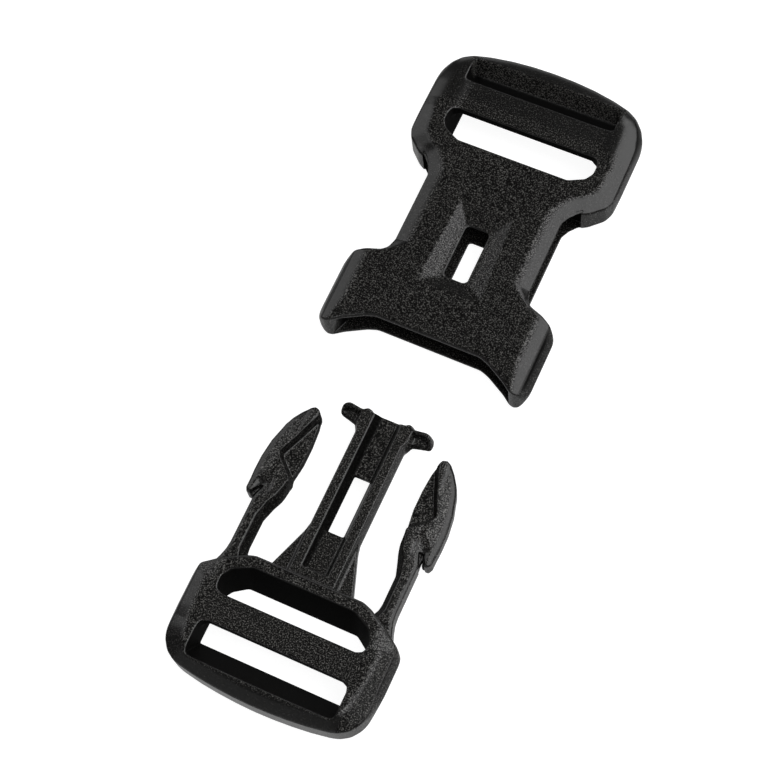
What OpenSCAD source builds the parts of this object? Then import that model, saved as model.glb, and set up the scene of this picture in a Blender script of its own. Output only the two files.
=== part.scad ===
// Side release buckle for webbing, shown with its two halves apart.
// The socket lies at +Y with its mouth towards the plug, and the plug lies at -Y in line with it.
// Both halves lie on the ground plane z = 0. Millimetres, +Z up.
// x is across the webbing. Every outline is drawn for the +x side and mirrored.

/* [Webbing] */
// width of the webbing that the buckle is made for
web_w = 25; // [20:0.5:32]
// room between the webbing and each end of a slot
web_room = 1; // [0.5:0.1:1.5]
// width of the socket's rail beside a slot
socket_rail = 6.4; // [5:0.1:8]
// how much narrower the plug's rail is
rail_step = 1; // [0.5:0.1:1.5]

/* [Thickness] */
// height of both halves
body_t = 7.6; // [7:0.1:9]
// thickness of the socket's upper and lower plates
plate_t = 1.05; // [0.9:0.05:1.4]
// clearance between the plug and the inside of the socket
fit_gap = 0.35; // [0.3:0.05:0.5]
// how far a crossbar lies below the top
bar_drop = 0.7; // [0.4:0.1:1]

/* [Socket] */
// length of the collar from the middle of its lip to the finger bays
collar_l = 9.1; // [8:0.1:12]
// thickness of the collar's wall on each side of the mouth
collar_wall = 4.4; // [3.6:0.1:5]
// how far the collar's corners reach beyond the middle of its lip
mouth_d = 4.05; // [3.5:0.05:4.4]
// how much narrower the neck is than the inside of the collar, on each side
neck_step = 2.7; // [2:0.1:3.5]
// distance from the lip to the end of the hollow
hollow_l = 32.6; // [30:0.1:37]
// how much shorter the finger bays are than the hollow
bay_step = 1.4; // [1:0.1:2]
// solid wall between the hollow and the inner slot
s_wall = 3.7; // [3:0.1:5]
// opening of the inner slot
s_gap = 5.9; // [4.5:0.1:7]
// width of the crossbar
s_bar = 6; // [5:0.1:8]
// opening of the outer slot
s_out = 4.8; // [4.2:0.1:6.5]
// width of the end bar at its middle
s_end = 2.8; // [2.4:0.1:4]

/* [Window] */
// distance from the collar's end to the window in the neck
window_y = 2.4; // [1.8:0.1:4]
// length of the window
window_l = 10.3; // [8:0.1:11]
// width of the window
window_w = 4.4; // [3:0.1:5]
// depth of the sloping surround
window_d = 0.55; // [0.3:0.05:0.7]

/* [Plug frame] */
// solid wall between the shoulder and the plug's inner slot
p_wall = 2.1; // [1.8:0.1:3]
// opening of the inner slot
p_gap = 5.9; // [4.5:0.1:7]
// width of the crossbar
p_bar = 5; // [4.5:0.1:7]
// opening of the outer slot
p_out = 6.6; // [6:0.1:8]
// width of the end bar at its middle
p_end = 2.9; // [2.4:0.1:4]

/* [Guide] */
// width over the centre guide's two rails
guide_w = 9; // [8:0.1:10]
// width of one rail
guide_rail = 2.2; // [1.8:0.1:2.6]
// thickness of the floor between the rails
floor_t = 1.6; // [1.2:0.1:2]
// width over the tee at the guide's end
tee_w = 17.3; // [15:0.1:18]

/* [Fastening] */
// gap left between the plug's shoulder and the socket's lip once fastened
seat_gap = 0.4; // [0.35:0.05:0.8]
// room left beyond the tee once fastened
guide_room = 1.5; // [1:0.1:3]
// room left beyond the tips of the side arms once fastened
arm_room = 5.3; // [4:0.1:7]
// distance that the plug slides to fasten, which is how far apart the halves lie
travel = 46; // [40:1:60]

/* [Side arms] */
// thickness of an arm's flexing stem
stem_t = 3; // [2:0.1:3.2]
// how far a barb stands out beyond the inside of the collar
catch_d = 1.7; // [1:0.1:1.9]
// radial clearance of the round root that stands in for the bending stem
root_gap = 0.08; // [0.05:0.01:0.1]

/* [Hidden] */
$fn = 48;
slot_h = web_w / 2 + web_room;
half_s = slot_h + socket_rail;
half_p = half_s - rail_step;
// the socket's slots are this much wider at the top than at the bottom, on each side
draft = 0.12 * socket_rail;
// the mid height, where the two mould halves meet
mid_z = body_t / 2;
hollow_t = body_t - 2 * plate_t;
insert_z = plate_t + fit_gap;
insert_t = hollow_t - 2 * fit_gap;
// half widths inside the collar, over the barbs and of the neck
mouth_h = half_s - collar_wall;
barb_h = mouth_h + catch_d;
neck_h = mouth_h - neck_step;
// the socket's inner slot, crossbar and outer slot, measured from the lip
s_slot = hollow_l + s_wall;
s_bar0 = s_slot + s_gap;
s_bar1 = s_bar0 + s_bar;
s_rim = s_bar1 + s_out;
socket_l = s_rim + s_end;
// the same for the plug, measured from its shoulder
p_bar0 = p_wall + p_gap;
p_bar1 = p_bar0 + p_bar;
p_rim = p_bar1 + p_out;
frame_l = p_rim + p_end;
// the overall length is centred on y = 0
lip_y = (frame_l + travel + seat_gap - socket_l) / 2;
shoulder_y = lip_y - seat_gap - travel;
guide_l = hollow_l + seat_gap - guide_room;
arm_l = hollow_l + seat_gap - arm_room;
// the mouth's outline as shares of half the width and of the mouth's depth, which the plug's
// shoulder repeats
mouth_pts = [[0.49, 0], [0.576, -0.15], [0.758, -0.64], [0.82, -0.865], [0.845, -0.95]];
mouth = [for (p = mouth_pts) [p[0] * half_s, p[1] * mouth_d]];
// an arm's pivot, and its stem, which runs inside the collar's wall
root_x = mouth_h - fit_gap - stem_t / 2;
root_r = stem_t / 2 + 2 * root_gap;
root_y = -0.86 * p_wall;
// the barb's shoulder, which catches behind the collar once the plug is home
hook_y = collar_l + seat_gap + fit_gap;
guide_h = guide_w / 2;
rail_h = guide_h - guide_rail;
tee_h = tee_w / 2;

function mir(p) = concat(p, [for (i = [len(p) - 1 : -1 : 0]) [-p[i][0], p[i][1]]]);
// a shallow arch across the end of a frame, n straight pieces to the middle
function arch(h, y, rise, n) = [for (i = [0 : n]) let (x = h * (n - i) / n)
    [x, y + rise * (1 - pow(x / h, 2))]];
// the end of a frame: its rail's outer corner, then the arch
function frame_end(h, l, w) = concat([[h, l - 3 * w], [0.985 * h, l - 2.1 * w],
    [0.945 * h, l - 1.4 * w], [0.875 * h, l - 0.85 * w], [0.79 * h, l - 0.56 * w]],
    arch(0.72 * h, l - 0.42 * w, 0.42 * w, 4));

// a solid of the given section in x and z, running along y
module along(y0, y1) {
    translate([0, y1, 0]) rotate([90, 0, 0]) linear_extrude(y1 - y0) children();
}

// a solid of the given section in y and z, running across x between -h and h
module across(h) {
    translate([-h, 0, 0]) rotate([90, 0, 90]) linear_extrude(2 * h) children();
}

// section of a bevelled body: half width at the top, at the break and at mid height
module section(top, brk, z_brk, mid) {
    polygon([[top, body_t], [brk, z_brk], [mid, mid_z], [brk, body_t - z_brk], [top, 0],
        [-top, 0], [-brk, body_t - z_brk], [-mid, mid_z], [-brk, z_brk], [-top, body_t]]);
}

// the two slots of a webbing frame, leaving the crossbar between them; y runs away from the
// other half of the buckle. The slots' first and last walls lean, the last one down to z_lean,
// and their ends are wider at the top by the given taper.
module slots(y0, b0, b1, y1, lean0, lean1, z_lean, c, taper) {
    u = 0.22 * body_t;
    d0 = b0 + 0.34 * (b1 - b0);
    d1 = b1 - 0.35 * (b1 - b0);
    h = slot_h + taper;
    r = 0.09 * h;
    intersection() {
        union() {
            // inner slot, running on below the bar. Its first wall leans with both its corners.
            intersection() {
                hull() for (low = [0, 1]) let (y = y0 + low * lean0)
                    translate([0, 0, low > 0 ? -1 : body_t]) linear_extrude(1)
                        polygon(mir([[h, b1], [h, y + 1.2 * c], [h - 0.4 * c, y + 0.55 * c],
                            [h - 1.5 * c, y]]));
                translate([0, 0, -1]) linear_extrude(body_t + 2)
                    polygon(mir([[h - r, b1], [h - r, b0], [h, b0 - r], [h, y0]]));
                across(h) polygon([[y0, -1], [y0, body_t + 1], [b0, body_t + 1],
                    [b0, 0.75 * body_t], [d0, u], [d1, u], [(d1 + b1) / 2, -1]]);
            }
            // outer slot
            intersection() {
                translate([0, 0, -1]) linear_extrude(body_t + 2)
                    polygon(mir([[h - 0.5 * c, y1], [h - 0.12 * c, y1 - 0.18 * c],
                        [h, y1 - 0.5 * c], [h, b1 + r], [h - r, b1], [h - r, d0]]));
                across(h) polygon([[d1, -1], [d1, u], [b1, 0.72 * body_t], [b1, body_t + 1],
                    [y1, body_t + 1], [y1, body_t], [y1 - lean1, z_lean], [y1 - lean1, -1]]);
            }
        }
        // the ends' taper
        along(y0 - 1, y1 + 1) polygon(mir([[h, body_t + 1], [h, body_t], [slot_h, 0],
            [slot_h, -1]]));
    }
    // room above the bar
    across(slot_h) polygon([[b0 - 1, body_t + 1], [b0 - 1, body_t - bar_drop],
        [b1 + 1, body_t - bar_drop], [b1 + 1, body_t + 1]]);
}

// the socket

module socket_plan() {
    polygon(mir(concat(mouth, [[0.89 * half_s, -mouth_d], [0.955 * half_s, -0.88 * mouth_d],
        [0.99 * half_s, -0.6 * mouth_d], [half_s, -0.3 * mouth_d],
        [half_s, 0.87 * collar_l], [0.978 * half_s, collar_l], [0.945 * half_s, 1.08 * collar_l],
        [0.83 * half_s, 1.21 * collar_l], [neck_h + 0.45 * neck_step, 1.3 * collar_l],
        [neck_h + 0.13 * neck_step, 1.4 * collar_l], [neck_h, 1.58 * collar_l],
        [neck_h, hollow_l - 1.1 * s_wall], [neck_h + 0.3 * neck_step, hollow_l - 0.7 * s_wall],
        [neck_h + 0.75 * neck_step, hollow_l - 0.38 * s_wall],
        [neck_h + 1.3 * neck_step, hollow_l - 0.15 * s_wall],
        [0.935 * half_s, hollow_l + 0.4 * s_wall], [0.98 * half_s, hollow_l + 0.95 * s_wall],
        [half_s, hollow_l + 1.7 * s_wall]],
        frame_end(half_s, socket_l, s_end))));
}

module socket_shape() {
    z1 = 0.82 * body_t;
    intersection() {
        linear_extrude(body_t) socket_plan();
        union() {
            // collar
            along(-1.5 * mouth_d, 1.5 * collar_l)
                section(0.815 * half_s, 0.94 * half_s, z1, half_s);
            // neck
            along(1.5 * collar_l, hollow_l - 0.35 * s_wall)
                section(neck_h - neck_step, neck_h, body_t - plate_t, neck_h);
            // webbing frame
            along(hollow_l - 0.35 * s_wall, socket_l + 1)
                section(0.905 * half_s, 0.975 * half_s, z1, half_s);
        }
    }
}

// the hollow that takes the plug, open at the mouth and at both finger bays. The collar's solid
// side reaches past the edge that a barb catches on, to the corner of the outline.
module socket_hollow() {
    bay_end = hollow_l - bay_step;
    back = mouth_h + fit_gap;
    side = barb_h + fit_gap;
    side_end = 1.14 * collar_l;
    translate([0, 0, plate_t]) linear_extrude(hollow_t)
        polygon(mir([[mouth_h + 0.3 * collar_wall, -1.8 * mouth_d],
            [mouth_h + 0.25 * collar_wall, -0.9 * mouth_d], [mouth_h, -0.2 * mouth_d],
            [mouth_h, collar_l], [side, collar_l], [side, side_end], [half_s + 2, side_end],
            [half_s + 2, bay_end],
            [back, bay_end], [back, hollow_l]]));
}

// the window through both plates, with its sloping surround on each face
module socket_window() {
    y0 = collar_l + window_y;
    y1 = y0 + window_l;
    h = window_w / 2;
    r0 = y0 - 0.1 * window_l;
    r1 = y1 + 0.4 * window_l;
    c = 0.12 * window_w;
    translate([0, 0, -1]) linear_extrude(body_t + 2)
        polygon(mir([[h - c, y1], [h, y1 - c], [h, y0 + c], [h - c, y0]]));
    for (up = [0, 1]) translate([0, 0, up * body_t]) mirror([0, 0, up]) {
        // the slopes beside the window are cut by a wedge, and those above it by another
        intersection() {
            translate([0, 0, -1]) linear_extrude(2) polygon(mir([[2.35 * h, r1], [2.7 * h, r0]]));
            along(r0, r1) polygon(mir([[h, window_d], [2.85 * h, 0], [2.85 * h, -1], [0, -1]]));
            across(3 * h) polygon([[r0, 0], [y0, window_d], [y1, window_d], [r1, 0],
                [r1, -1], [r0, -1]]);
        }
    }
}

module socket() {
    color([0.09, 0.09, 0.1]) translate([0, lip_y, 0]) difference() {
        socket_shape();
        socket_hollow();
        socket_window();
        slots(s_slot, s_bar0, s_bar1, s_rim, 0, 0.3 * s_out, mid_z, 0.68 * s_wall, draft);
    }
}

// the plug

module frame_shape() {
    intersection() {
        linear_extrude(body_t) mirror([0, 1, 0])
            polygon(mir(concat([for (p = mouth) [p[0], -p[1]]],
                [[0.953 * half_p, 1.15 * mouth_d], [0.985 * half_p, 1.35 * mouth_d],
                [half_p, 1.6 * mouth_d], [half_p, frame_l - 3.6 * p_end]],
                frame_end(0.985 * half_p, frame_l, p_end))));
        along(-frame_l - 1, 1) section(0.79 * half_p, 0.955 * half_p, 0.82 * body_t, half_p);
    }
}

// the centre guide: two rails with a thin floor between, and a tee at its end
module guide() {
    g = guide_l;
    n = 0.2 * tee_h;
    difference() {
        translate([0, 0, insert_z]) linear_extrude(insert_t)
            polygon(mir([[0.86 * rail_h, g - 0.2 * n], [1.35 * rail_h, g - 0.2 * n],
                [1.7 * rail_h, g], [0.56 * tee_h, g - 0.35 * n], [0.84 * tee_h, g - 0.1 * n],
                [0.96 * tee_h, g - 0.5 * n], [tee_h, g - n], [0.95 * tee_h, g - 1.6 * n],
                [0.75 * tee_h, g - 1.8 * n], [0.62 * tee_h, g - 2 * n],
                [guide_h, g - 2.7 * n], [guide_h, -0.5 * p_wall]]));
        // the two channels beside the floor
        for (z = [mid_z + floor_t / 2, insert_z - 1])
            translate([-rail_h, 0.8 * p_wall, z])
                cube([2 * rail_h, g, mid_z - floor_t / 2 - insert_z + 1]);
        // window through the floor
        translate([-0.64 * rail_h, 0.28 * g, 0]) cube([1.28 * rail_h, 0.345 * g, body_t]);
    }
    // flared root, thinner than the rails
    translate([0, 0, mid_z - 0.7 * floor_t]) linear_extrude(1.4 * floor_t)
        polygon(mir([[0.9 * guide_h, 0.28 * g], [guide_h, 0.27 * g], [0.92 * tee_h, -0.25 * p_wall],
            [0.92 * tee_h, -0.5 * p_wall]]));
}

// the round seat that an arm's root turns in
module root_seat(s) {
    r = root_r + root_gap;
    translate([s * root_x, root_y, insert_z - root_gap])
        cylinder(r = r, h = insert_t + 2 * root_gap);
    // clearance for the stem on both sides of its root, over its whole swing
    translate([s * root_x, root_y, insert_z - 0.8 * fit_gap]) linear_extrude(insert_t + 1.6 * fit_gap)
        polygon([[-s * r, 0], [-s * 1.85 * r, 3 * r], [s * 1.2 * r, 3 * r], [s * r, 0]]);
}

module plug() {
    color([0.09, 0.09, 0.1]) translate([0, shoulder_y, 0]) difference() {
        union() {
            frame_shape();
            guide();
        }
        mirror([0, 1, 0])
            slots(p_wall, p_bar0, p_bar1, p_rim, 1.05 * p_wall, 0.6 * p_out, 0, 1.4 * p_wall, 0);
        root_seat(1);
        root_seat(-1);
    }
}

// a sprung side arm: a thin stem, and a barbed leaf shaped head

// the head's outline from the notch beside the barb's shoulder round to the inside, as shares
// of the barb's half width and of the head's length
head_pts = [[0.865, 0.055], [0.905, 0], [0.955, 0], [0.985, 0.07], [1, 0.24], [0.998, 0.37],
    [0.975, 0.55], [0.92, 0.74], [0.88, 0.825], [0.82, 0.91], [0.755, 0.98], [0.71, 1],
    [0.665, 0.985], [0.625, 0.93], [0.608, 0.83], [0.595, 0.66], [0.595, 0.45],
    [0.622, 0.24], [0.62, 0.1], [0.64, 0.01], [0.675, -0.09]];
scoop_pts = [[0.56, 0.93], [0.66, 0.93], [0.82, 0.49], [0.81, 0.41], [0.56, 0.26]];
function head(pts) = [for (p = pts) [p[0] * barb_h, hook_y + p[1] * (arm_l - hook_y)]];

module arm() {
    r = stem_t / 2;
    translate([0, 0, insert_z]) difference() {
        union() {
            linear_extrude(insert_t) polygon(concat([[root_x + r, root_y + 0.2 * r],
                [root_x + r, hook_y - 0.45 * r]], head(head_pts),
                [[root_x - r, hook_y - 2.2 * r], [root_x - r, root_y + 0.2 * r]]));
            translate([root_x, root_y, 0]) cylinder(r = root_r, h = insert_t);
        }
        // the scooped inner half of the head, on both faces
        for (z = [-1, 0.75 * insert_t]) translate([0, 0, z])
            linear_extrude(1 + 0.25 * insert_t) polygon(head(scoop_pts));
    }
}

module right_arm() {
    color([0.1, 0.1, 0.11]) translate([0, shoulder_y, 0]) arm();
}

module left_arm() {
    color([0.1, 0.1, 0.11]) translate([0, shoulder_y, 0]) mirror([1, 0, 0]) arm();
}

socket();
plug();
left_arm();
right_arm();
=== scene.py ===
# %% [markdown]
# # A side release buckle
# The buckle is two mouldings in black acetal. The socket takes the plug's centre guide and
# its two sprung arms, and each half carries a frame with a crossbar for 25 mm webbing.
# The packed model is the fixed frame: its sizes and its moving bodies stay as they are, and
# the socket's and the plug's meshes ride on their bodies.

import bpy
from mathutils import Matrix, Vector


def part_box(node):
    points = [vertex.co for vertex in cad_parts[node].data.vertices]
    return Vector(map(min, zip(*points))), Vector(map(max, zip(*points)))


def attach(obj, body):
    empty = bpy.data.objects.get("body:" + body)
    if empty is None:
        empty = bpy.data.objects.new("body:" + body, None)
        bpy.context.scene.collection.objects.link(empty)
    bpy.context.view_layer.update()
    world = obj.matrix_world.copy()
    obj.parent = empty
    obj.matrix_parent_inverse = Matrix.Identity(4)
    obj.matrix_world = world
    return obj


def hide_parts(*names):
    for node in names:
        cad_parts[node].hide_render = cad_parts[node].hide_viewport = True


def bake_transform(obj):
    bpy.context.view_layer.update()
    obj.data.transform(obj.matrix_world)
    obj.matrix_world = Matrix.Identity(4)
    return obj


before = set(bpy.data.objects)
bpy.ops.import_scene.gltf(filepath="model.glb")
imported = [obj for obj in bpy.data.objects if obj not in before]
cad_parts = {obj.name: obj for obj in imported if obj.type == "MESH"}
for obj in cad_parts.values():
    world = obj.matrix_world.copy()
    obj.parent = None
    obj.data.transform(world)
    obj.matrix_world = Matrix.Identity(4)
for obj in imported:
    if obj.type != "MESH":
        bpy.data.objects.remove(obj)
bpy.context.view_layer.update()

import math

import bpy
import numpy as np
from mathutils import Matrix, Vector


# %% [markdown]
# ## Where the two halves lie
# Outlines are easiest to read in millimetres from a place that a maker would measure from.
# The socket is measured from the middle of its lip, and the plug from its shoulder, both of
# which come from the boxes of the packed nodes.

# %% The sizes that both halves share
MM = 0.001
MOUTH_DEPTH, PLUG_FRAME_LENGTH = 4.05, 22.5
socket_low, socket_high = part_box("socket")
plug_low, plug_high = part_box("plug")
LIP_Y = 1000 * socket_low.y + MOUTH_DEPTH
SHOULDER_Y = 1000 * plug_low.y + PLUG_FRAME_LENGTH
SOCKET_HALF, PLUG_HALF = 1000 * socket_high.x, 1000 * plug_high.x
THICK = 1000 * socket_high.z
MID_Z = THICK / 2
print("lip at", round(LIP_Y, 3), "and shoulder at", round(SHOULDER_Y, 3))
print("half widths", round(SOCKET_HALF, 2), round(PLUG_HALF, 2), "thickness", round(THICK, 2))

# %% [markdown]
# ## Moulded shapes from distance fields
# A moulding has a small radius on every edge and a fillet in every corner, which is slow to
# bevel edge by edge, and a bevel modifier tangles where short edges meet. A distance field
# gives both at once. It is a grid of numbers, negative inside the plastic and positive
# outside, and two fields are joined with a soft minimum or cut with a soft maximum, whose
# softness is the radius of the fillet. The surface is then meshed where the field is zero.

# %% Soft cuts and soft joins
def soft_cut(a, b, r):
    """What is inside both fields, with the edge between them rounded."""
    h = np.maximum(r - np.abs(a - b), 0)
    return np.maximum(a, b) + h * h / (4 * r)


def soft_join(a, b, r):
    """What is inside either field, with a fillet between them."""
    return -soft_cut(-a, -b, r)


print("a softness of 0.4 takes an edge back by", round(float(soft_cut(0.0, 0.0, 0.4)), 3), "mm")

# %% [markdown]
# A plan or a section is a polygon. Its field is the distance to the nearest side, with the
# sign found by counting crossings, and a short blur rounds the corners but leaves straight
# sides where they are.

# %% Flat fields from outlines
def mirrored(points):
    """A closed outline from the points of its right half."""
    return list(points) + [(-x, y) for x, y in reversed(points)]


def blur(field, steps):
    for _ in range(steps):
        for axis in (0, 1):
            padded = np.concatenate([field.take([0], axis), field, field.take([-1], axis)], axis)
            n = field.shape[axis]
            low, mid, top = (padded.take(range(k, k + n), axis) for k in (0, 1, 2))
            field = 0.25 * low + 0.5 * mid + 0.25 * top
    return field


def outline(points, u, v, radius=0.0):
    """Signed distance in the u, v plane to a closed outline whose corners are softened."""
    uu, vv = np.meshgrid(u, v, indexing="ij")
    nearest = np.full(uu.shape, 1e9)
    inside = np.zeros(uu.shape, bool)
    for (x0, y0), (x1, y1) in zip(points, points[1:] + points[:1]):
        ex, ey = x1 - x0, y1 - y0
        px, py = uu - x0, vv - y0
        t = np.clip((px * ex + py * ey) / max(ex * ex + ey * ey, 1e-12), 0, 1)
        nearest = np.minimum(nearest, (px - t * ex) ** 2 + (py - t * ey) ** 2)
        if y0 != y1:
            crosses = ((y0 > vv) != (y1 > vv)) & (uu < (x1 - x0) * (vv - y0) / (y1 - y0) + x0)
            inside ^= crosses
    field = np.where(inside, -1, 1) * np.sqrt(nearest)
    steps = int(round((radius / (u[1] - u[0])) ** 2))
    return blur(field, steps) if steps else field


square = outline([(-1, -1), (1, -1), (1, 1), (-1, 1)], np.array([0.0, 3.0]), np.array([0.0, 1.0]))
print("a square of 2 mm has", square[0, 0], "at its middle and", square[1, 0], "2 mm outside")

# %% [markdown]
# The mesh is made with surface nets: every grid cell that the surface passes through gets one
# point, at the mean of where the surface crosses the cell's edges, and every crossed edge
# gets one face. Two steps along the field's slope then bring the points onto it. Marching
# cubes would do as well, but it leaves many sliver triangles, which shade badly.

# %% The value and slope of a field
def slope_at(field, step, points):
    """The field's value and slope at points given in grid steps, by trilinear weights."""
    base = np.clip(np.floor(points).astype(int), 0, np.array(field.shape) - 2)
    x, y, z = (points - base).T

    def cell_side(i):
        """The values on the low or the high side of each point's cell."""
        column = base[:, 0] + i
        return [[field[column, base[:, 1] + j, base[:, 2] + k] for k in (0, 1)] for j in (0, 1)]

    low, high = cell_side(0), cell_side(1)
    cx = [[low[j][k] * (1 - x) + high[j][k] * x for k in (0, 1)] for j in (0, 1)]
    dx = [[high[j][k] - low[j][k] for k in (0, 1)] for j in (0, 1)]
    value = (cx[0][0] * (1 - y) + cx[1][0] * y) * (1 - z) + (cx[0][1] * (1 - y) + cx[1][1] * y) * z
    gx = (dx[0][0] * (1 - y) + dx[1][0] * y) * (1 - z) + (dx[0][1] * (1 - y) + dx[1][1] * y) * z
    gy = (cx[1][0] - cx[0][0]) * (1 - z) + (cx[1][1] - cx[0][1]) * z
    gz = (cx[0][1] * (1 - y) + cx[1][1] * y) - (cx[0][0] * (1 - y) + cx[1][0] * y)
    return value, np.stack([gx, gy, gz], 1) / step


ramp = np.arange(3.0)[:, None, None] + np.zeros((3, 3, 3))
print("a field that rises by 1 a step along x has slope", slope_at(ramp, 1.0, np.full((1, 3), 0.5))[1][0])


# %% A net of quads from a field
def crossed_edges(inside, cells, axis):
    """The grid edges along one axis that have one end inside the plastic."""
    a, b = (axis + 1) % 3, (axis + 2) % 3
    first = tuple(slice(0, -1) if k == axis else slice(None) for k in range(3))
    second = tuple(slice(1, None) if k == axis else slice(None) for k in range(3))
    edge = np.argwhere(inside[first] != inside[second])
    within = (edge[:, a] > 0) & (edge[:, a] < cells[a]) & (edge[:, b] > 0) & (edge[:, b] < cells[b])
    return edge[within]


def surface_net(field, step):
    """Points in grid steps, and quads, of the surface where the field is zero."""
    cells = np.array(field.shape) - 1
    inside = field < 0
    total = np.zeros((int(cells.prod()), 3))
    count = np.zeros(int(cells.prod()))
    faces = []
    for axis in range(3):
        edge = crossed_edges(inside, cells, axis)
        far = edge.copy()
        far[:, axis] += 1
        v0, v1 = field[tuple(edge.T)], field[tuple(far.T)]
        place = edge.astype(float)
        place[:, axis] += v0 / (v0 - v1)
        ring = []
        for da, db in ((-1, -1), (0, -1), (0, 0), (-1, 0)):
            cell = edge.copy()
            cell[:, (axis + 1) % 3] += da
            cell[:, (axis + 2) % 3] += db
            index = np.ravel_multi_index(cell.T, cells)
            for k in range(3):
                total[:, k] += np.bincount(index, place[:, k], len(total))
            count += np.bincount(index, minlength=len(count))
            ring.append(index)
        quad = np.stack(ring, 1)
        faces.append(np.where((v0 < 0)[:, None], quad, quad[:, ::-1]))
    used = np.flatnonzero(count)
    number = np.zeros(len(count), np.int64)
    number[used] = np.arange(len(used))
    points = total[used] / count[used, None]
    for _ in range(2):
        value, slope = slope_at(field, step, points)
        move = value[:, None] * slope / np.maximum((slope ** 2).sum(1), 0.05)[:, None] / step
        points -= np.clip(move, -0.5, 0.5)
    return points, number[np.concatenate(faces)]


s = np.arange(-2, 2.1, 0.5)
ball = np.sqrt(s[:, None, None] ** 2 + s[None, :, None] ** 2 + s[None, None, :] ** 2) - 1.4
print("a ball of 1.4 mm on a grid of 0.5 mm becomes", len(surface_net(ball, 0.5)[1]), "quads")

# %% [markdown]
# A flat face needs few triangles and a rounded edge needs many, so the dense net is thinned
# with a Decimate modifier. Thinning spoils the shading of what is left, because each normal
# is then the mean of long and short faces, so the true normals are read back from the field.

# %% A mesh from the net
def dense_mesh(name, places, quads):
    mesh = bpy.data.meshes.new(name)
    mesh.from_pydata([], [], [])
    mesh.vertices.add(len(places))
    mesh.vertices.foreach_set("co", places.ravel())
    mesh.loops.add(quads.size)
    mesh.loops.foreach_set("vertex_index", quads.ravel())
    mesh.polygons.add(len(quads))
    mesh.polygons.foreach_set("loop_start", np.arange(0, quads.size, 4))
    mesh.update(calc_edges=True)
    mesh.validate()
    return mesh


def points_in_mm(mesh):
    places = np.zeros(3 * len(mesh.vertices))
    mesh.vertices.foreach_get("co", places)
    return places.reshape(-1, 3) / MM


# %% From field to finished object
def mesh_object(name, field, corner, step, keep, y_shift):
    """The object, its points in millimetres in the field's own axes, and their normals."""
    shift = np.array([0, y_shift, 0])
    points, quads = surface_net(field, step)
    dense = dense_mesh(name, (points * step + corner + shift) * MM, quads)
    obj = bpy.data.objects.new(name, dense)
    bpy.context.scene.collection.objects.link(obj)
    thin = obj.modifiers.new("thin", "DECIMATE")
    thin.ratio = keep
    graph = bpy.context.evaluated_depsgraph_get()
    obj.data = bpy.data.meshes.new_from_object(obj.evaluated_get(graph))
    obj.modifiers.clear()
    bpy.data.meshes.remove(dense)
    obj.data.name = name
    obj.data.shade_smooth()
    local = (points_in_mm(obj.data) - corner - shift) / step
    normal = slope_at(field, step, local)[1]
    normal /= np.maximum(np.linalg.norm(normal, axis=1), 1e-9)[:, None]
    obj.data.normals_split_custom_set_from_vertices(normal)
    triangles = sum(len(p.vertices) - 2 for p in obj.data.polygons)
    print(name, len(quads), "quads thinned to", triangles, "triangles")
    return obj, local * step + corner, normal


def grid(x0, x1, y0, y1, z0, z1, step):
    """The three axes of a field's grid, and its lowest corner."""
    axes = [np.arange(lo, hi + step, step) for lo, hi in ((x0, x1), (y0, y1), (z0, z1))]
    return axes, np.array([x0, y0, z0])


# %% [markdown]
# ## The webbing slots
# Both halves hold the webbing the same way: it comes up through one slot, over the crossbar
# and down through the other, so both use this one cut. It is a plan crossed with a side
# section, because the slots' walls lean and the bar is undercut to a thin gripping edge.
# Boxes taken away with a Boolean modifier would be quicker to write, but their corners are
# sharp, and the moulded slots are rounded in every corner. The undercut isn't seen in the
# photograph. It is how such crossbars are usually made.

# %% One cut for both frames
SLOT_HALF = 13.5
BAR_UNDERSIDE = 0.22 * THICK


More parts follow.
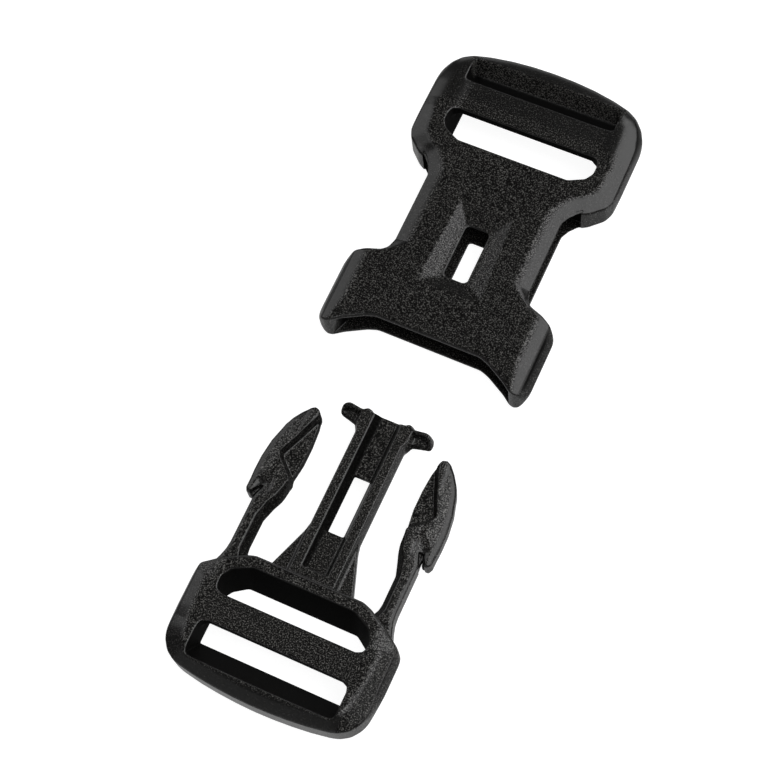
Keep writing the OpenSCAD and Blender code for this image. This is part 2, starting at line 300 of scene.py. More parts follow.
def webbing_slots(axes, near, bar, far, near_lean, far_lean, lean_z, corner, taper, sign,
                  ledge=0.0, far_round=1.0):
    """Field of a frame's two slots.

    near and far are the slots' outer walls and bar the two sides of the crossbar, all
    measured along the frame, which runs against y where sign is -1. near_lean and far_lean
    say how far those walls lean towards the bar, and taper how far the slots widen upwards.
    """
    x, y, z = axes
    xx, zz = x[:, None, None], z[None, None, :]
    b0, b1 = bar
    under0, under1 = b0 + 0.34 * (b1 - b0), b1 - 0.35 * (b1 - b0)
    half = SLOT_HALF + taper
    run = sign * y
    order = slice(None, None, sign)

    def plan(points, softness=0.35):
        return outline(mirrored(points), x, run[order], softness)[:, order][:, :, None]

    def section(points):
        return outline(points, run[order], z, 0.2)[order][None]

    # the near wall leans together with its corners, so the plan is cut at two heights and
    # blended between them
    def near_corners(y, reach):
        return plan([(half, b1), (half, y + 1.2 * corner), (half - 0.4 * corner, y + 0.55 * corner),
                     (half - reach * corner, y)])

    high = np.clip((zz - ledge) / (THICK - 3 * ledge), 0, 1) if near_lean else 1.0
    low_part = near_corners(near + near_lean, 1.2) * (1 - high) if near_lean else 0
    leaning = near_corners(near, 1.5) * high + low_part

    # the corners beside the bar are rounded in the upper half only
    upper = np.clip((zz - 0.4 * THICK) / (0.3 * THICK), 0, 1)

    def rounded(points_for):
        return plan(points_for(1.5), 0.3) * upper + plan(points_for(0.01), 0.3) * (1 - upper)

    def beside_bar(r):
        return [(half - r, b1), (half - r, b0), (half - 0.3 * r, b0 - 0.3 * r), (half, b0 - r),
                (half, near - 1)]

    def far_end(r):
        r = far_round * r
        return [(half - 0.55 * corner, far), (half - 0.12 * corner, far - 0.18 * corner),
                (half, far - 0.5 * corner), (half, b1 + r), (half - 0.3 * r, b1 + 0.3 * r),
                (half - r, b1), (half - r, under0)]

    near_section = section([(near - 1, -3), (near - 1, THICK + 3), (b0, THICK + 3), (b0, 0.75 * THICK),
                            (under0, BAR_UNDERSIDE), (under1, BAR_UNDERSIDE), (0.5 * (under1 + b1), -3)])
    far_section = section([(under1, -3), (under1, BAR_UNDERSIDE), (b1, 0.72 * THICK), (b1, THICK + 3),
                           (far, THICK + 3), (far, THICK), (far - far_lean, lean_z),
                           (far - far_lean, -3)])
    first = soft_cut(soft_cut(leaning, rounded(beside_bar), 0.1), near_section, 0.2)
    second = soft_cut(rounded(far_end), far_section, 0.2)
    ends = np.abs(xx) - (SLOT_HALF + taper * np.clip(zz / THICK, 0, 1))
    return soft_cut(soft_join(first, second, 0.1), ends, 0.3)


def bar_room(axes, bar, drop, sign):
    """Field of the shallow room above a crossbar, whose ends rise softly into the rails."""
    x, y, z = axes
    b0, b1 = bar
    side = (np.abs(sign * y - 0.5 * (b0 + b1)) - 0.5 * (b1 - b0))[None, :, None]
    rise = np.clip((np.abs(x) - SLOT_HALF + 1.6) / 3.4, 0, 1)
    fall = drop * (1 - rise ** 2 * (3 - 2 * rise))[:, None] * np.clip(1 - side[:, :, 0] / 1.6, 0, 1)
    return np.maximum((THICK - fall)[:, :, None] - z[None, None, :], side - 1.7)


print("slots", 2 * SLOT_HALF, "mm long inside, the bars' underside at", round(BAR_UNDERSIDE, 2))

# %% [markdown]
# ## The socket
# The socket is a hollow shell with a collar at its mouth, a narrow neck with a finger bay on
# each side, and the webbing frame. The bevels along its sides are what catches the light:
# broad on the collar, following the neck's outline round into the frame's shoulders, and
# narrow across the far end. A bevel whose width changes along an edge is hard to get from a
# modifier, and here it is one sloping plane whose numbers change along the length. The
# lower face can't be seen in the photograph, so it is the upper one mirrored about mid
# height, and the hollow's inner end is a guess.

# %% The socket's outline
STEP = 0.17
MOUTH = [(9.75, 0), (11.46, -0.6), (15.08, -2.6), (16.3, -3.5), (16.8, -3.85)]
SOCKET_PLAN = MOUTH + [
    (17.7, -4.05), (19.0, -3.6), (19.7, -2.4), (19.9, -1.2),
    (19.9, 7.9), (19.46, 9.1), (18.8, 9.85), (16.5, 11.0), (14.0, 11.85), (13.15, 12.75), (12.8, 14.4),
    (12.8, 28.5), (13.6, 30.0), (14.8, 31.2), (16.3, 32.0), (18.6, 34.1), (19.5, 36.1), (19.9, 38.9),
    (19.9, 47.2), (19.4, 49.4), (18.45, 51.3), (16.95, 52.9), (15.1, 53.9), (12, 54.7), (8, 55.35),
    (4, 55.7), (0, 55.8)]
HOLLOW_HALF_HEIGHT = 2.75
HOLLOW_PLAN = [
    (16.8, -7.3), (16.6, -3.6), (15.5, -0.8), (15.5, 9.1), (17.55, 9.1), (17.55, 10.35), (22, 10.35),
    (22, 30.6), (16.4, 30.75), (15.05, 31.2), (15.05, 32.6)]
print("walls above and below the hollow", round(MID_Z - HOLLOW_HALF_HEIGHT, 2), "mm thick")


# %% Bevels and leaning sides
BEVEL_HEIGHT, SIDE_HEIGHT = 1.37, 2.43


def along_y(y, places, values):
    """A size that changes along the length, as numbers that a field can use."""
    return np.interp(y, places, values)[None, :, None]


def bevel(distance, below_top, width, height):
    """Field of a sloping plane that takes width off a top face and height off a side."""
    return (height * distance + width * below_top + width * height) / np.hypot(width, height)


def leaning_side(side, from_middle, lean):
    """Field of a side that leans in by lean between mid height and its bevel."""
    return (SIDE_HEIGHT * side + lean * from_middle) / np.hypot(SIDE_HEIGHT, lean)


corner_field = bevel(0.0, 0.0, 3.0, BEVEL_HEIGHT)
print("a bevel of 3 by", BEVEL_HEIGHT, "mm passes", round(float(corner_field), 2), "mm inside the corner")


# %% The socket's outside
def socket_outside(axes):
    x, y, z = axes
    from_middle = np.abs(z - MID_Z)[None, None, :]
    below_top = from_middle - MID_Z
    plan = outline(mirrored(SOCKET_PLAN), x, y, 0.45)[:, :, None]
    body = soft_cut(plan, below_top, 0.35)
    # the bevel that follows the outline
    stops = [12.0, 14.6, 29, 33, 38, 48, 52, 56]
    width = along_y(y, stops, [0.3, 2.7, 2.7, 2.9, 3.1, 2.0, 1.6, 1.1])
    height = along_y(y, stops, [0.2, 0.85, 0.85, 1.2, BEVEL_HEIGHT, BEVEL_HEIGHT, 1.2, 0.8])
    soft = along_y(y, [41, 49], [0.3, 1.5])
    body = soft_cut(body, bevel(plan, below_top, width, height), soft)
    # the broad bevels of the collar and the frame, and the draft of all the sides
    side = np.abs(x)[:, None, None] - SOCKET_HALF
    wide = along_y(y, [12, 30, 35, 43, 49], [3.7, 2.4, 3.15, 3.15, 1.9])
    body = soft_cut(body, bevel(side, below_top, wide, BEVEL_HEIGHT), soft)
    body = soft_cut(body, leaning_side(side, from_middle, along_y(y, [14, 30], [1.2, 0.5])), 0.4)
    # a slight fall towards the lip
    lip_width, lip_fall = along_y(y, [2, 5], [2.4, 0.2]), along_y(y, [2, 5], [0.34, 0.1])
    return soft_cut(body, bevel(plan, below_top, lip_width, lip_fall), 0.3), plan


# %% The hollow, the window and its sloping surround
WINDOW_START, WINDOW_END, WINDOW_HALF = 11.5, 21.8, 2.2
SURROUND_DEPTH = 0.75


def cut_hollow(body, axes):
    x, y, z = axes
    above_hollow = np.abs(z - MID_Z)[None, None, :] - HOLLOW_HALF_HEIGHT
    hollow = np.maximum(outline(mirrored(HOLLOW_PLAN), x, y, 0.3)[:, :, None], above_hollow)
    return soft_cut(body, -hollow, 0.15)


def cut_window(body, axes):
    """The window through both plates, in the middle of a surround that slopes down to it."""
    x, y, z = axes
    y0, y1, depth = WINDOW_START, WINDOW_END, SURROUND_DEPTH
    corners = [(1.67, y1), (WINDOW_HALF, y1 - 0.5), (WINDOW_HALF, y0 + 0.5), (1.67, y0)]
    hole = outline(mirrored(corners), x, y, 0.2)[:, :, None]
    hole = hole + 0.5 * np.clip(1 - z / THICK, 0, 1)[None, None, :]
    edge = along_y(y, [y0 - 1, y1 + 4.1], [6.0, 5.1])
    beside = depth * (edge - np.abs(x)[:, None, None]) / (edge - WINDOW_HALF)
    below = depth * along_y(y, [y0 - 3.0, y0 - 0.4], [0, 1])
    above = depth * along_y(y, [y1 - 0.1, y1 + 4.2], [1, 0])
    dish = -soft_cut(soft_cut(-beside, -below, 0.25), soft_cut(-above, -depth, 0.05), 0.05)
    below_top = np.abs(z - MID_Z)[None, None, :] - MID_Z
    body = soft_cut(body, below_top + np.clip(dish, -1, depth), 0.1)
    return soft_cut(body, -hole, 0.25)


print("window", 2 * WINDOW_HALF, "by", round(WINDOW_END - WINDOW_START, 1), "mm")

# %% The finished socket
SOCKET_BAR = (42.2, 48.2)
axes, socket_corner = grid(-20.6, 20.6, -4.8, 56.6, -0.7, THICK + 0.7, STEP)
field, socket_plan = socket_outside(axes)
field = cut_window(cut_hollow(field, axes), axes)
slots = webbing_slots(axes, near=36.3, bar=SOCKET_BAR, far=53.0, near_lean=0, far_lean=1.44,
                      lean_z=MID_Z, corner=2.5, taper=0.77, sign=1, far_round=0.4)
field = soft_cut(field, -slots, 0.3)
field = soft_cut(field, -bar_room(axes, SOCKET_BAR, 0.35, 1), 0.3)
print("socket grid", field.shape)
socket, socket_at, socket_n = mesh_object("socket_shell", field, socket_corner, STEP, 0.32, LIP_Y)
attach(socket, "socket")
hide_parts("socket")

# %% [markdown]
# ## The plug's frame
# The plug's frame is built as the socket's is, with bevels along its outline and the same cut
# for the slots. The wall on the shoulder side of its inner slot leans, as the photograph
# shows, and its shoulder follows the curve of the socket's mouth.

# %% The plug's frame
PLUG_PLAN = [(x, -y) for x, y in MOUTH] + [
    (18.0, 4.66), (18.62, 5.5), (18.9, 6.5), (18.9, 12.1), (18.6, 14.2), (18.2, 16.4), (17.5, 18.3),
    (16.3, 19.9), (14.7, 20.9), (13.4, 21.28), (10, 21.85), (6.7, 22.2), (3.3, 22.42), (0, 22.5)]
PLUG_BAR = (8.0, 13.0)


def plug_frame(axes):
    x, y, z = axes
    from_middle = np.abs(z - MID_Z)[None, None, :]
    below_top = from_middle - MID_Z
    plan = outline([(px, -py) for px, py in mirrored(PLUG_PLAN)], x, y, 0.5)[:, :, None]
    body = soft_cut(plan, below_top, 0.35)
    stops = [2.5, 6, 14, 18, 22]
    width = along_y(-y, stops, [0.4, 3.3, 3.6, 3.0, 2.2])
    height = along_y(-y, stops, [0.3, 1.2, BEVEL_HEIGHT, 1.3, 1.0])
    body = soft_cut(body, bevel(plan, below_top, width, height), 0.3)
    side = np.abs(x)[:, None, None] - PLUG_HALF
    body = soft_cut(body, leaning_side(side, from_middle, 0.85), 0.4)
    slots = webbing_slots(axes, near=2.1, bar=PLUG_BAR, far=19.6, near_lean=2.2, far_lean=3.96,
                          lean_z=0, corner=2.94, taper=0, sign=-1, ledge=0.3)
    body = soft_cut(body, -slots, 0.3)
    return soft_cut(body, -bar_room(axes, PLUG_BAR, 0.15, -1), 0.3), plan


print("bars", [round(b1 - b0, 1) for b0, b1 in (SOCKET_BAR, PLUG_BAR)], "mm wide")

# %% [markdown]
# ## The centre guide
# The guide stands on the shoulder and keeps the plug straight in the hollow. It is two rails
# with a thin floor between them, a window in the floor, a tee at the end whose arms are
# scooped out, and a thin flare beside each root. The walls of the channel and the scoops
# lean by 0.4 in 1, and the channel is deeper on the upper face than on the lower one.

# %% The guide's sizes
RAIL_IN, RAIL_OUT, INSERT_HALF = 2.4, 4.65, 2.4
GUIDE_END = 31.5
CHANNEL_START = 1.7
FLOOR_UP, FLOOR_DOWN = 0.35, 0.8
WALL_LEAN, WALL_LENGTH = 0.4, 1.08
TEE = [(1.9, GUIDE_END - 0.5), (3.0, GUIDE_END - 0.5), (3.35, GUIDE_END), (4.1, GUIDE_END),
       (4.8, GUIDE_END - 0.6), (7.25, GUIDE_END - 0.25), (8.3, GUIDE_END - 0.85),
       (8.65, GUIDE_END - 1.8), (8.3, GUIDE_END - 2.75), (6.75, GUIDE_END - 3.1),
       (5.3, GUIDE_END - 3.5), (RAIL_OUT, GUIDE_END - 4.8), (RAIL_OUT, -1.5)]
TEE_SCOOP = [(RAIL_OUT + 0.05, GUIDE_END - 1.5), (6.3, GUIDE_END - 1.35), (8.0, GUIDE_END - 1.7),
             (8.3, GUIDE_END - 2.6), (8.3, GUIDE_END - 5), (RAIL_OUT + 0.05, GUIDE_END - 5.5)]
print("guide", GUIDE_END, "mm long,", 2 * RAIL_OUT, "mm over its rails,", 2 * max(TEE)[0], "over its tee")


# %% The guide's shape
def leaning_wall(distance, below_top):
    """Field of a wall that leans outwards on its way up."""
    return (distance - WALL_LEAN * below_top) / WALL_LENGTH


def plug_guide(axes):
    x, y, z = axes
    xx, yy = np.abs(x)[:, None, None], y[None, :, None]
    height = (z - MID_Z)[None, None, :]
    from_middle = np.abs(height)
    below_top = from_middle - INSERT_HALF
    plan = outline(mirrored(TEE), x, y, 0.35)[:, :, None]
    body = soft_cut(soft_cut(plan, below_top, 0.2), bevel(plan, below_top, 0.5, 2.2), 0.2)
    # the channel between the rails
    above_floor = np.where(height > 0, FLOOR_UP - height, FLOOR_DOWN + height)
    wall = np.maximum(leaning_wall(xx - RAIL_IN, below_top), CHANNEL_START - yy)
    body = soft_cut(body, -soft_cut(wall, above_floor, 0.3), 0.2)
    # the near half of the tee's arms is scooped out
    scoop = leaning_wall(outline(TEE_SCOOP, np.abs(x), y)[:, :, None], below_top)
    body = soft_cut(body, -soft_cut(scoop, 1.1 - from_middle, 0.25), 0.1)
    window = outline(mirrored([(1.47, 8.8), (1.47, 19.7)]), x, y, 0.15)[:, :, None]
    body = soft_cut(body, -window, 0.2)
    corners = [(3, 9), (4.45, 8.7), (7.75, -0.5), (7.75, -1.5)]
    flare = outline(mirrored(corners), x, y, 0.2)[:, :, None]
    return soft_join(body, soft_cut(flare, from_middle - 1.1, 0.3), 0.5)


# %% The finished plug
axes, plug_corner = grid(-19.6, 19.6, -23.2, GUIDE_END + 0.7, -0.7, THICK + 0.7, STEP)
frame_field, plug_plan = plug_frame(axes)
field = soft_join(frame_field, plug_guide(axes), 0.5)
print("plug grid", field.shape)
plug, plug_at, plug_n = mesh_object("plug_frame_and_guide", field, plug_corner, STEP, 0.4, SHOULDER_Y)
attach(plug, "plug")
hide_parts("plug")

# %% [markdown]
# ## The sprung arms
# On the real plug an arm is one moulding with the frame, and it bends along its stem. Here
# each arm is its own mesh, whose root is sunk in the shoulder. The foot of the root is kept
# narrow, because the tip of the collar passes close beside it once fastened.

# %% The arm's outlines
BARB_X, HOOK_Y, TIP_Y = 17.2, 9.85, 27.7
HEAD_SHARES = [
    (0.872, 0.1), (0.9, -0.012), (0.965, -0.012), (0.99, 0.03), (1, 0.22), (0.998, 0.37),
    (0.975, 0.55), (0.92, 0.74), (0.88, 0.825), (0.82, 0.91), (0.755, 0.98), (0.71, 1),
    (0.665, 0.985), (0.625, 0.93), (0.608, 0.83), (0.595, 0.66), (0.595, 0.45), (0.622, 0.24),
    (0.62, 0.1), (0.64, 0.01), (0.675, -0.09)]
ROOT_AND_OUTER = [(16.4, -3.8), (15.7, -2.0), (15.3, -0.6), (15.15, 0.8), (15.15, 9.2)]
HEAD = [(a * BARB_X, HOOK_Y + b * (TIP_Y - HOOK_Y)) for a, b in HEAD_SHARES]
INNER_AND_ROOT = [(12.15, 6.6), (12.15, 1.4), (11.9, 0.3), (11.2, -0.6), (10.6, -2.4), (12.6, -3.2)]
ARM_PLAN = ROOT_AND_OUTER + HEAD + INNER_AND_ROOT
SCOOP_PLAN = [(8.6, 27.6), (10.5, 27.0), (11.3, 26.0), (12.8, 22.2), (14.5, 18.2), (14.0, 17.2),
              (11.3, 14.7), (8.6, 12.6)]
POCKET_PLAN = [(14.2, 11.6), (15.0, 9.6), (15.0, 9.0), (15.9, 9.0), (15.9, 10.2), (14.9, 11.6)]
print("barb", BARB_X, "mm from the middle, head", round(TIP_Y - HOOK_Y, 2), "mm long")


# %% The arm's shape
ARM_STEP = 0.13


def arm_outside(axes, from_middle):
    x, y, z = axes
    xx = x[:, None, None]
    below_top = from_middle - INSERT_HALF
    plan = outline(ARM_PLAN, x, y, 0.15)[:, :, None]
    body = soft_cut(plan, below_top, 0.35)
    # the outer bevel of the head, and the crown that leads up from it
    outer_side = plan - np.maximum(13.2 - xx, 0) * 2
    outer = along_y(y, [9, 12, 24, 27.5], [0.3, 0.65, 0.65, 0.4])
    body = soft_cut(body, bevel(outer_side, below_top, outer, outer), 0.3)
    crown = along_y(y, [9.5, 12, 22, 27], [0.3, 2.4, 2.4, 1.5])
    fall = along_y(y, [9.5, 12, 22, 27], [0.05, 0.65, 0.65, 0.3])
    body = soft_cut(body, bevel(outer_side, below_top, crown, fall), 0.7)
    # the stem's sloping inner face
    edge_x = along_y(y, [1.4, 6.6, 9.0, 10.8, 13.5, 16], [12.15, 12.15, 11.5, 10.7, 10.2, 8.5])
    slope_width = along_y(y, [-2, 0.5, 9.5, 13], [0.3, 1.1, 1.1, 0.8])
    return soft_cut(body, bevel(edge_x - xx, below_top, slope_width, 1.7 * slope_width), 0.25)


def cut_head(body, axes, from_middle):
    """The scoop, whose wall falls from a crisp ridge, and the pocket beside the hook."""
    x, y, z = axes
    wall = leaning_wall(outline(SCOOP_PLAN, x, y, 0.1)[:, :, None], from_middle - INSERT_HALF)
    ridge = along_y(y, [21, 25, 27], [0.1, 0.3, 1.0])
    body = soft_cut(body, -soft_cut(wall, 0.95 - from_middle, 0.25), ridge)
    pocket = np.maximum(outline(POCKET_PLAN, x, y, 0.13)[:, :, None], 0.8 - from_middle)
    return soft_cut(body, -pocket, 0.12)


axes, arm_corner = grid(9.2, 18.0, -4.4, TIP_Y + 0.8, MID_Z - 3.2, MID_Z + 3.2, ARM_STEP)
from_middle = np.abs(axes[2] - MID_Z)[None, None, :]
right_field = cut_head(arm_outside(axes, from_middle), axes, from_middle)
print("arm grid", right_field.shape)

# %% Both arms, the left one mirrored
arms = {}
for side_name, sign in (("right", 1), ("left", -1)):
    field, corner = right_field, arm_corner
    if sign < 0:
        far_x = arm_corner[0] + ARM_STEP * (right_field.shape[0] - 1)
        field, corner = right_field[::-1], np.array([-far_x, arm_corner[1], arm_corner[2]])
    arm, at, normal = mesh_object(side_name + "_sprung_arm", field, corner, ARM_STEP, 0.6, SHOULDER_Y)
    side_name + "_arm"
    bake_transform(arm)
    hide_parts(side_name + "_arm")
    arms[side_name] = (arm, at, normal)

# %% [markdown]
# ## The finish and painted light as numbers on the mesh
# The mould was spark eroded, so the flat faces have a fine even grain that glitters, while
# the steeper faces and the ends drag along the steel as the part leaves the mould and come
# out smoother. An image would have to be painted and unwrapped for that, so three numbers per
# point are worked out from the shape instead, and the material reads them: the grain, which
# also scales the painted glints; painted shade, which darkens walls deep in the part and
# takes their mirroring away; and edge, for how sharply the surface turns, which makes the
# colour a little lighter there.
# A few places are picked to match the photograph and given painted shade as well, such as
# the darker half of the guide's channel, and it is the same under any light.

# %% Numbers on the mesh
def soft_step(value, low, high):
    """0 below low, 1 above high, and smooth between."""
    t = np.clip((value - low) / (high - low), 0, 1)
    return t * t * (3 - 2 * t)


def put(obj, name, values):
    layer = obj.data.attributes.new(name, "FLOAT", "POINT")
    layer.data.foreach_set("value", np.asarray(values, np.float32))


def edge_amount(obj, normal):
    """How sharply the surface turns at each point, from its neighbours' normals."""
    ends = np.zeros(2 * len(obj.data.edges), np.int64)
    obj.data.edges.foreach_get("vertices", ends)
    a, b = ends.reshape(-1, 2).T
    place = points_in_mm(obj.data)
    way = place[b] - place[a]
    length = np.maximum((way ** 2).sum(1), 1e-4)
    turn = ((normal[b] - normal[a]) * way).sum(1) / length
    total = np.bincount(a, turn, len(place)) + np.bincount(b, turn, len(place))
    count = np.bincount(a, minlength=len(place)) + np.bincount(b, minlength=len(place))
    return soft_step(total / np.maximum(count, 1), 0.25, 2.0)


def on_outline(at, plan, corner):
    """1 for places close to the outline of a plan or beyond it, and 0 well inside it."""
    column, row = (np.clip(np.rint((at[:, k] - corner[k]) / STEP).astype(int), 0, plan.shape[k] - 1)
                   for k in (0, 1))
    return soft_step(plan[column, row, 0], -1.3, -0.6)


print("half way up a soft step is", soft_step(0.5, 0, 1))


# %% Grain, painted glints, painted shade and edges
def finish_and_painted_light(obj, normal, outer, smooth, grain_and_glint_wall=0.0, painted_dark=0.0, channel=0.0):
    """Write the three numbers, from the normals and from where each place is.

    outer is 1 for walls on the outline. The others are 1 in given places: where the
    spark-eroded texture fades, where a wall keeps that texture and its painted glints, where
    painted shade darkens a face, and where a wall gets the painted shade of deep walls
    although outer doesn't say so.
    """
    facing_up = np.abs(normal[:, 2])
    flat = soft_step(facing_up, 0.945, 0.995)
    wall = soft_step(-facing_up, -0.75, -0.45)
    # painted shade for walls deep in the part: less grain, no lighter edges and no mirroring
    inner = np.maximum(wall * (1 - outer), wall * channel) * (1 - grain_and_glint_wall)
    # walls on the outline keep half the grain, and with it painted glints that make them lighter
    grain_and_glint = 0.15 + 0.85 * np.maximum(flat, 0.5 * wall * outer)
    grain_and_glint = grain_and_glint * (1 - 0.75 * smooth) * (1 - 0.85 * inner)
    # a wall that keeps its grain gets strong painted glints
    grain_and_glint = np.maximum(grain_and_glint, 2.2 * grain_and_glint_wall)
    put(obj, "grain_and_glint", grain_and_glint)
    put(obj, "inner", np.maximum(inner, painted_dark))
    put(obj, "edge", edge_amount(obj, normal) * (1 - inner))
    grainy, deep = round(float(grain_and_glint.mean()), 2), round(float(inner.mean()), 2)
    print(obj.name, "mean grain", grainy, "inner walls", deep)


# %% The socket's finish and painted shade
x, y, z = np.abs(socket_at[:, 0]), socket_at[:, 1], socket_at[:, 2]
end_strip = soft_step(y, 52.2, 53.2)
bar_top = soft_step(-np.abs(y - 46.5), -2.2, -1.2) * 0.8
frame_rails = soft_step(x, 13.4, 14.2) * soft_step(y, 42, 45)
smooth = np.clip(end_strip + bar_top + frame_rails, 0, 1)
# painted shade on the far slot's wall; above mid height it keeps a strong grain whose painted glints
# light it
far_wall = soft_step(y, 50.6, 51.2) * soft_step(-y, -53.5, -52.9)
far_wall = far_wall * soft_step(z, MID_Z - 0.8, MID_Z + 0.3)
far_wall *= (x < 14.9) * soft_step(-np.abs(socket_n[:, 2]), -0.98, -0.9)
finish_and_painted_light(socket, socket_n, on_outline(socket_at, socket_plan, socket_corner), smooth,
               grain_and_glint_wall=far_wall, painted_dark=0.85 * far_wall)

# %% The plug's finish and painted shade
x, y, from_middle = plug_at[:, 0], plug_at[:, 1], np.abs(plug_at[:, 2] - MID_Z)
slope = np.abs(plug_n[:, 2])
right_half = x > 0
side_bevel = soft_step(slope, 0.75, 0.85) * (1 - soft_step(slope, 0.95, 0.98)) * (np.abs(x) > 14.5)
channel = (np.abs(x) < RAIL_IN) * (y > 1.9) * (from_middle < INSERT_HALF - 0.15)
# painted shade in the guide's channel: darker towards the left rail, a little lighter on the flat floor
shade = channel * (1 - 0.6 * soft_step(x, -1.9, 0.8))
shade = shade * (0.85 + 0.15 * soft_step(-slope, -0.985, -0.9))
tee = (np.abs(x) > RAIL_OUT) * (y > GUIDE_END - 5)
tee_scoops = tee * soft_step(-slope, -0.85, -0.6) * soft_step(-plug_n[:, 1], 0.2, 0.5)
# painted shade on the right side bevel, in the channel and in the scoops of the tee
painted_dark = np.maximum(0.68 * side_bevel * right_half, np.maximum(shade, tee_scoops))
# the channel's walls on the left half get the painted shade of deep walls, and the right side bevel keeps
# more grain, with its painted glints, than the left
finish_and_painted_light(plug, plug_n, on_outline(plug_at, plug_plan, plug_corner),
               soft_step(-y, 19.0, 20.0) * 0.6, grain_and_glint_wall=side_bevel * np.where(right_half, 0.33, 0.1),
               painted_dark=painted_dark, channel=channel * ~right_half)

# %% The arms' finish and painted shade
for arm, at, normal in arms.values():
    x, y, from_middle = np.abs(at[:, 0]), at[:, 1], np.abs(at[:, 2] - MID_Z)
    inward = -normal[:, 0] * np.sign(at[:, 0])
    pocket = (np.abs(x - 15.1) < 0.85) * (np.abs(y - 10.6) < 1.1) * (from_middle < INSERT_HALF - 0.2)
    steep = soft_step(-np.abs(normal[:, 2]), -0.9, -0.6)
    # painted shade on the arm's inward faces and the steep walls of the pocket, which also get less grain
    dark = np.maximum(soft_step(inward, 0.35, 0.7), pocket * steep)
    finish_and_painted_light(arm, normal, 1.0, 0.5 * dark, painted_dark=0.9 * dark)

# %% [markdown]
# ## Shader sums as plain expressions
# A material is a web of nodes, and sums in it are easier to read as Python. This class wraps
# one socket, and each operator adds the node that works it out.

# %% A socket that can be added, multiplied and mixed
class Link:
    def __init__(self, tree, socket):
        self.tree, self.socket = tree, socket

    @staticmethod
    def node(tree, kind, settings=None, **inputs):
        """A node of any kind. i0, i1 and so on name its inputs by number."""
        made = tree.nodes.new(kind)
        for key, value in (settings or {}).items():
            setattr(made, key, value)
        for key, value in inputs.items():
            by_number = key[0] == "i" and key[1:].isdigit()
            place = made.inputs[int(key[1:]) if by_number else key.replace("_", " ")]
            if isinstance(value, Link):
                tree.links.new(value.socket, place)
            else:
                place.default_value = value
        return made

    def math(self, operation, other=None, swap=False):
        pair = [self] if other is None else ([other, self] if swap else [self, other])
        inputs = {f"i{k}": value for k, value in enumerate(pair)}
        made = Link.node(self.tree, "ShaderNodeMath", {"operation": operation}, **inputs)
        return Link(self.tree, made.outputs[0])

    def __add__(self, other):
        return self.math("ADD", other)

    def __mul__(self, other):
        return self.math("MULTIPLY", other)

    def __sub__(self, other):
        return self.math("SUBTRACT", other)

    def __rsub__(self, other):
        return self.math("SUBTRACT", other, swap=True)

    def __pow__(self, other):
        return self.math("POWER", other)

    def __rpow__(self, other):
        return self.math("POWER", other, swap=True)

    def between_0_and_1(self):
        return self.math("MAXIMUM", 0).math("MINIMUM", 1)

    __radd__ = __add__
    __rmul__ = __mul__


def blend_colour(tree, factor, low, high):
    made = Link.node(tree, "ShaderNodeMix", {"data_type": "RGBA"}, i0=factor, i6=(*low, 1), i7=(*high, 1))
    return Link(tree, made.outputs[2])


print("a Link knows", [name for name in vars(Link) if name[2:5] in ("add", "mul", "sub", "pow")])

# %% [markdown]
# ## Black acetal
# Close up, the plastic is a field of bright sparks with black pits between them. Bump alone
# can't give that, because the base of the shader mirrors the room as well and fills the pits
# with grey. So the mirroring is left to the shader's coat, and one noise of about a fifth of
# a millimetre sets three things: how far the coat mirrors, where the base colour is brighter
# with painted glints, and the bump. A finer noise breaks the bump up. All of it is scaled by
# the numbers on the mesh, so one material is grainy on a flat face, nearly smooth on a bevel
# and black, with painted shade, on an inner wall.

# %% The material
SPARK_SCALE, FINE_SCALE, BROAD_SCALE = 4700, 9000, 140
ACETAL_INDEX = 1.48
BUMP_HEIGHT = 0.000012


def acetal(name, tint, roughness, glint_gain):
    material = bpy.data.materials.new(name)
    material.use_nodes = True
    tree = material.node_tree
    tree.nodes.clear()
    place = Link(tree, Link.node(tree, "ShaderNodeTexCoord").outputs["Object"])

    def noise(scale, detail):
        made = Link.node(tree, "ShaderNodeTexNoise", {"noise_dimensions": "3D"},
                         Vector=place, Scale=scale, Detail=detail, Roughness=0.5)
        return Link(tree, made.outputs["Fac"])

    def number(attribute):
        made = Link.node(tree, "ShaderNodeAttribute", {"attribute_name": attribute})
        return Link(tree, made.outputs["Fac"])

    grain_and_glint, edge, inner = number("grain_and_glint"), number("edge"), number("inner")
    sparks, fine, broad = noise(SPARK_SCALE, 0), noise(FINE_SCALE, 1), noise(BROAD_SCALE, 3)
    marks = (sparks * 0.7 + fine * 0.3) * grain_and_glint
    bump = Link.node(tree, "ShaderNodeBump", Strength=1.0, Distance=BUMP_HEIGHT,
                     Height=marks + edge * fine * 0.05)
    # painted glints: the bright sparks are painted into the base colour, scaled by the grain
    painted_glint = ((sparks - 0.25) * 2).math("MAXIMUM", 0) ** 3.5 * grain_and_glint
    # the colour is also a little lighter along edges and in broad random patches, but not under painted
    # shade
    brighter = (painted_glint + (edge * 0.03 + broad * 0.02) * (1 - inner)).math("MINIMUM", 1)
    colour = blend_colour(tree, brighter, tint, [glint_gain * c for c in tint])
    rough = roughness + (broad - 0.5) * 0.1 + grain_and_glint * 0.04 - edge * 0.05
    rough = rough + (fine - 0.5) * 0.08 + inner * 0.45
    # the pits between the sparks mirror nothing, and painted shade takes the mirroring away too
    lit = ((sparks - 0.3) * 2.8).between_0_and_1()
    gloss = (1 - grain_and_glint.math("MINIMUM", 1) * (1 - lit)) * (1 - inner)
    shader = Link.node(tree, "ShaderNodeBsdfPrincipled", Base_Color=colour, Roughness=rough,
                       Coat_Weight=gloss, Normal=Link(tree, bump.outputs[0]), IOR=ACETAL_INDEX,
                       Specular_IOR_Level=0.02, Coat_IOR=ACETAL_INDEX, Coat_Roughness=0.2)
    Link.node(tree, "ShaderNodeOutputMaterial", Surface=Link(tree, shader.outputs[0]))
    print(name, len(tree.nodes), "nodes")
    return material


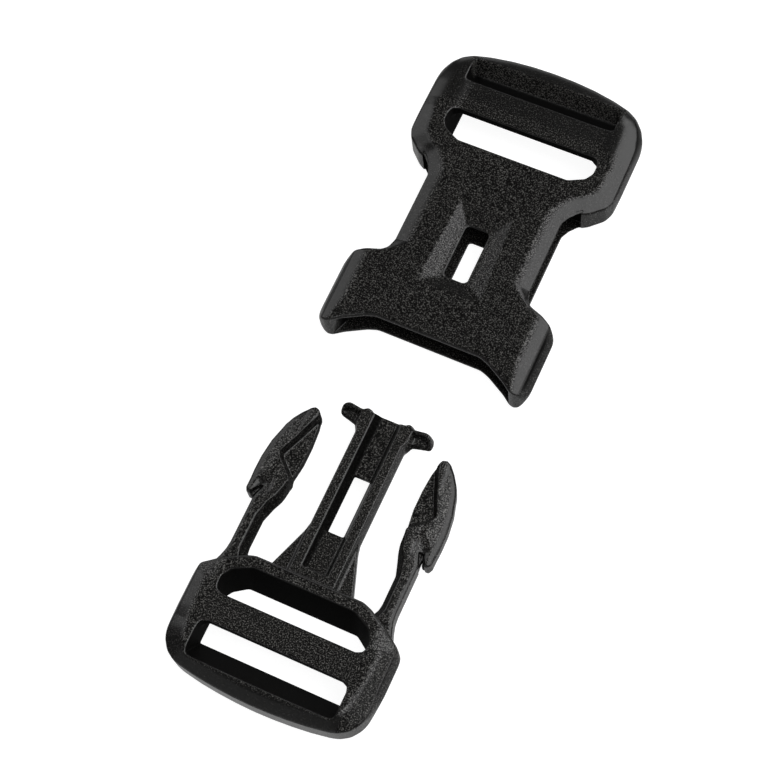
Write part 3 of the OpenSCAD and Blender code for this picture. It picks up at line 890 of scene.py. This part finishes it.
# %% Material on every piece
def give_material(obj, material):
    obj.data.materials.clear()
    obj.data.materials.append(material)


socket_black = acetal("socket_black_acetal", (0.0022, 0.00215, 0.00203), 0.2, 36)
plug_black = acetal("plug_black_acetal", (0.0023, 0.00225, 0.00213), 0.2, 48)
give_material(socket, socket_black)
for obj in (plug, arms["left"][0], arms["right"][0]):
    give_material(obj, plug_black)
for node_name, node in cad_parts.items():
    give_material(node, socket_black if node_name == "socket" else plug_black)
print("materials on", 4 + len(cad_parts), "objects")

# %% [markdown]
# ## The table
# The buckle was photographed on plain white, from in front and above. A wide floor that
# shines by itself gives that without a hard shadow. Mirrored rays don't see it: with it, the
# slots' inner walls and the lower edges came out far brighter than in the photograph.

# %% Floor
REACH = 3.0
floor_mesh = bpy.data.meshes.new("floor")
floor_corners = [(-REACH, -REACH, 0), (REACH, -REACH, 0), (REACH, REACH, 0), (-REACH, REACH, 0)]
floor_mesh.from_pydata(floor_corners, [], [(0, 1, 2, 3)])
floor = bpy.data.objects.new("floor", floor_mesh)
bpy.context.scene.collection.objects.link(floor)
paper = bpy.data.materials.new("white_table")
paper.use_nodes = True
paper_shader = paper.node_tree.nodes["Principled BSDF"]
paper_shader.inputs["Base Color"].default_value = (0.3, 0.3, 0.3, 1)
paper_shader.inputs["Roughness"].default_value = 0.9
paper_shader.inputs["Emission Color"].default_value = (1, 1, 1, 1)
paper_shader.inputs["Emission Strength"].default_value = 0.93
floor_mesh.materials.append(paper)
floor.visible_glossy = False
print("floor", 2 * REACH, "m across")

# %% [markdown]
# ## Light
# The bevels that face right are the brightest in the photograph, then those that face up and
# to the left, and the faces towards the camera are black. Black plastic shows little but what
# it mirrors, so each light is a flat panel placed where such a face looks: a large one on the
# right, a small one on the left, a faint one in front, and three low ones for the outer
# walls. A panel's brightness per area is what shows in the plastic, so that is the number
# given, and its power follows from its size. The room is dark above and paler below.

# %% Panels
def panel(name, place, size, aim, radiance):
    lamp = bpy.data.lights.new(name, "AREA")
    lamp.shape = "RECTANGLE"
    lamp.size, lamp.size_y = size
    lamp.energy = radiance * math.pi * size[0] * size[1]
    obj = bpy.data.objects.new(name, lamp)
    bpy.context.scene.collection.objects.link(obj)
    obj.location = place
    obj.rotation_euler = (Vector(aim) - Vector(place)).to_track_quat("-Z", "Y").to_euler()
    print(name, round(lamp.energy, 2), "W")


panel("right_softbox", (0.70, 0.35, 0.62), (1.36, 1.1), (0.70, 0.35, 0), 2.5)
panel("left_softbox", (-0.78, 0.25, 0.56), (0.5, 0.9), (0, 0, 0), 1.2)
panel("front_fill", (-0.1, -0.75, 0.7), (1.4, 0.5), (0, 0, 0), 0.3)
panel("right_low", (1.9, 0.3, 0.36), (0.9, 0.66), (0, 0.1, 0.3), 1.6)
panel("front_low", (-0.3, -1.6, 0.3), (1.6, 0.5), (0, 0, 0.2), 0.9)
panel("back_low", (-0.3, 1.7, 0.4), (2.0, 0.7), (0, 0, 0.3), 1.0)

# %% Room
DARK_ABOVE, PALE_BELOW = 0.1, 0.35
world = bpy.data.worlds.new("pale_room")
bpy.context.scene.world = world
world.use_nodes = True
sky = world.node_tree
way = Link(sky, Link.node(sky, "ShaderNodeTexCoord").outputs["Generated"])
up = Link(sky, Link.node(sky, "ShaderNodeSeparateXYZ", i0=way).outputs["Z"])
below = (0.5 - up * 4).between_0_and_1()
room = blend_colour(sky, below, [DARK_ABOVE] * 3, [PALE_BELOW] * 3)
background = sky.nodes["Background"]
sky.links.new(room.socket, background.inputs["Color"])
background.inputs["Strength"].default_value = 1.0
print("room", DARK_ABOVE, "above the horizon and", PALE_BELOW, "below it")

# %% [markdown]
# ## Camera
# The buckle's corners were matched to the photograph, which gives the camera's place, its
# turn and its lens. The rows of the turn are the camera's right, down and forward.

# %% Camera
CAMERA_PLACE = (65.67, -98.78, 301.57)
CAMERA_ROWS = ((0.904977, 0.418445, -0.076950),
               (0.365973, -0.857843, -0.360791),
               (-0.216982, 0.298346, -0.929467))
SENSOR_WIDTH, FOCAL_SHARE = 36, 2.4465
camera_data = bpy.data.cameras.new("camera")
camera_data.sensor_width = SENSOR_WIDTH
camera_data.lens = SENSOR_WIDTH * FOCAL_SHARE
camera_data.clip_start, camera_data.clip_end = 0.01, 10
camera = bpy.data.objects.new("camera", camera_data)
bpy.context.scene.collection.objects.link(camera)
right, down, ahead = (Vector(row) for row in CAMERA_ROWS)
turn = Matrix((right, -down, -ahead)).transposed().to_4x4()
camera.matrix_world = Matrix.Translation(Vector(CAMERA_PLACE) * MM) @ turn
bpy.context.scene.camera = camera
bpy.context.scene.view_settings.view_transform = "Standard"
print("lens", round(camera_data.lens, 1), "mm")

# %% [markdown]
# The visual model has to stay as large as the packed one.
